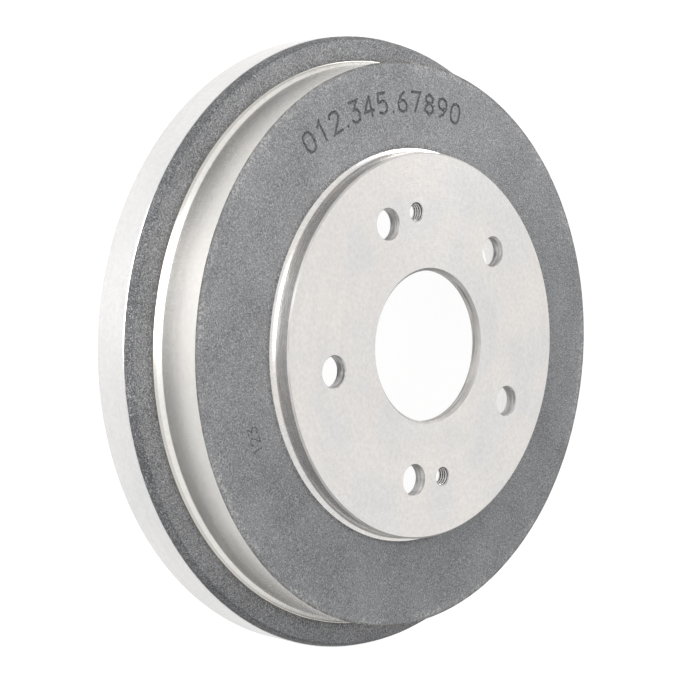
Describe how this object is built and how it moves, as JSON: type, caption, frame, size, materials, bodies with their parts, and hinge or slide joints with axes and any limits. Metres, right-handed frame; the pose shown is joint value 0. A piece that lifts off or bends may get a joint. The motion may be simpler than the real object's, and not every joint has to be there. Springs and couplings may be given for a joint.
{
  "type": "brake drum",
  "caption": "Cast brake drum with a raised wheel seat, a pilot bore, stud holes, pull-off threads and a turned rim over the open friction ring.",
  "frame": {"origin": "centre of the friction ring's open end, which the drum stands on", "axes": "+Z along the drum's axis to the hub face, +X through the first stud hole"},
  "size_m": [0.2674, 0.2674, 0.0584],
  "materials": {
    "turned_iron": "cast skin in mid grey, with turned faces in bright satin"
  },
  "bodies": {
    "root": {"brake_drum": "turned_iron"}
  },
  "joints": []
}
